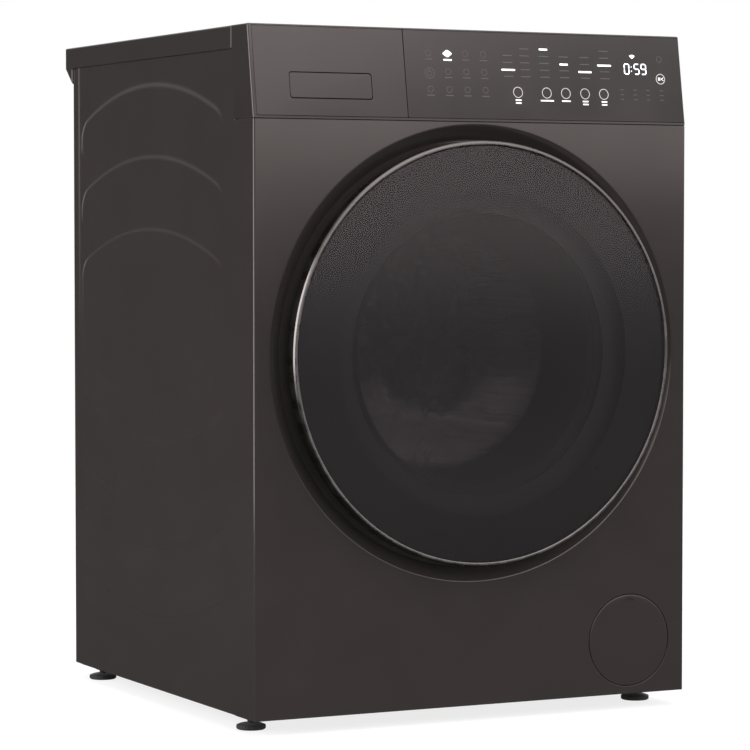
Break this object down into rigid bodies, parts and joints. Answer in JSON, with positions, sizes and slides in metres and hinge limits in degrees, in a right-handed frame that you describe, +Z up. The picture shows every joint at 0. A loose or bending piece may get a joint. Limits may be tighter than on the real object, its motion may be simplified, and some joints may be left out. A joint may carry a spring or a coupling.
{
  "type": "front load washing machine",
  "caption": "Front load washing machine with a round glass door in a dished rim, leaning touch console, flush detergent drawer, suspended tub and drum, pump hatch and levelling feet.",
  "frame": {"origin": "centre of the bounding box in plan, on the floor under the feet", "axes": "+Z up; the door and console face -Y; +X is to the right of someone facing the front"},
  "size_m": [0.6, 0.645, 0.85],
  "materials": {
    "body_enamel": "satin enamel",
    "console_plastic": "satin",
    "smoked_glass": "polished",
    "clear_glass": "polished",
    "satin_metal": "satin",
    "dark_plastic": "matte",
    "grey_plastic": "matte",
    "white_plastic": "satin",
    "grey_rubber": "matte",
    "black_rubber": "matte",
    "stainless": "polished",
    "zinc_steel": "galvanised",
    "cast_block": "rough cast",
    "stator_winding": "wound"
  },
  "bodies": {
    "cabinet": {"base_frame": "dark_plastic", "left_side_panel": "body_enamel", "right_side_panel": "body_enamel", "rear_panel": "zinc_steel", "rear_service_cover": "zinc_steel", "top_panel": "body_enamel", "front_panel": "body_enamel", "console_housing": "console_plastic", "control_glass": "smoked_glass", "control_module": "dark_plastic", "drawer_housing": "white_plastic", "inlet_valve_cold": "white_plastic", "inlet_valve_hot": "white_plastic", "drain_outlet": "grey_plastic", "power_cord_gland": "dark_plastic", "drain_pump": "grey_plastic", "door_lock": "dark_plastic", "door_hinge_bracket": "zinc_steel", "door_gasket": "grey_rubber", "spring_bracket_left": "zinc_steel", "suspension_spring_left": "zinc_steel", "damper_cylinder_left": "dark_plastic", "spring_bracket_right": "zinc_steel", "suspension_spring_right": "zinc_steel", "damper_cylinder_right": "dark_plastic", "sump_hose": "black_rubber", "fill_hose": "black_rubber"},
    "door": {"door_ring": "satin_metal", "door_glass": "smoked_glass", "door_inner_frame": "dark_plastic", "door_bowl": "clear_glass", "door_hinge_arm": "zinc_steel"},
    "door_latch": {"door_hook": "zinc_steel"},
    "tub": {"tub_front": "grey_plastic", "tub_rear": "grey_plastic", "counterweight_upper": "cast_block", "counterweight_lower": "cast_block", "stator": "stator_winding", "front_bearing": "stainless", "rear_bearing": "stainless", "heater_element": "zinc_steel", "damper_rod_left": "zinc_steel", "damper_rod_right": "zinc_steel"},
    "drum": {"drum_shell": "stainless", "drum_back": "stainless", "drum_shaft": "stainless", "rotor": "zinc_steel", "lifter_1": "grey_plastic", "lifter_2": "grey_plastic", "lifter_3": "grey_plastic"},
    "drawer": {"detergent_drawer": "white_plastic", "drawer_front": "console_plastic"},
    "drawer_grip": {"drawer_flap": "console_plastic"},
    "filter_hatch": {"filter_cover": "body_enamel"},
    "filter_plug": {"pump_filter": "dark_plastic"},
    "impeller": {"pump_impeller": "dark_plastic"},
    "foot_front_left": {"foot_front_left": "black_rubber"},
    "foot_front_right": {"foot_front_right": "black_rubber"},
    "foot_rear_left": {"foot_rear_left": "black_rubber"},
    "foot_rear_right": {"foot_rear_right": "black_rubber"}
  },
  "joints": [
    {"name": "door_hinge", "type": "hinge", "parent": "cabinet", "child": "door", "pos_m": [-0.247, -0.3023, 0.4535], "axis": [0, 0, -1], "range_deg": [0, 100]},
    {"name": "latch_pivot", "type": "hinge", "parent": "door", "child": "door_latch", "pos_m": [0.222, -0.2883, 0.4535], "axis": [0, 0, -1], "range_deg": [0, 6], "stiffness_Nm_per_rad": 0.05, "springref_deg": -5.73},
    {"name": "tub_suspension", "type": "slide", "parent": "cabinet", "child": "tub", "axis": [0, 0, 1], "range_m": [-0.01, 0.01], "stiffness_N_per_m": 9000, "springref_m": 0.03613, "deforming": ["suspension_spring_left", "suspension_spring_right", "door_gasket", "sump_hose", "fill_hose"]},
    {"name": "drum_spin", "type": "hinge", "parent": "tub", "child": "drum", "pos_m": [0, 0.1797, 0.4535], "axis": [0, 1, 0], "continuous": true},
    {"name": "drawer_slide", "type": "slide", "parent": "cabinet", "child": "drawer", "axis": [0, -1, 0], "range_m": [0, 0.22]},
    {"name": "drawer_grip_hinge", "type": "hinge", "parent": "drawer", "child": "drawer_grip", "pos_m": [-0.1952, -0.2801, 0.7912], "axis": [1, 0, 0], "range_deg": [0, 45], "stiffness_Nm_per_rad": 0.02, "springref_deg": -17.19},
    {"name": "filter_hatch_hinge", "type": "hinge", "parent": "cabinet", "child": "filter_hatch", "pos_m": [0.219, -0.2908, 0.0305], "axis": [1, 0, 0], "range_deg": [0, 90]},
    {"name": "filter_plug_turn", "type": "hinge", "parent": "cabinet", "child": "filter_plug", "pos_m": [0.219, -0.2303, 0.088], "axis": [0, -1, 0], "range_deg": [0, 90]},
    {"name": "impeller_spin", "type": "hinge", "parent": "cabinet", "child": "impeller", "pos_m": [0.219, -0.1623, 0.088], "axis": [0, 1, 0], "continuous": true},
    {"name": "foot_front_left_screw", "type": "slide", "parent": "cabinet", "child": "foot_front_left", "axis": [0, 0, 1], "range_m": [-0.012, 0]},
    {"name": "foot_front_right_screw", "type": "slide", "parent": "cabinet", "child": "foot_front_right", "axis": [0, 0, 1], "range_m": [-0.012, 0]},
    {"name": "foot_rear_left_screw", "type": "slide", "parent": "cabinet", "child": "foot_rear_left", "axis": [0, 0, 1], "range_m": [-0.012, 0]},
    {"name": "foot_rear_right_screw", "type": "slide", "parent": "cabinet", "child": "foot_rear_right", "axis": [0, 0, 1], "range_m": [-0.012, 0]}
  ]
}
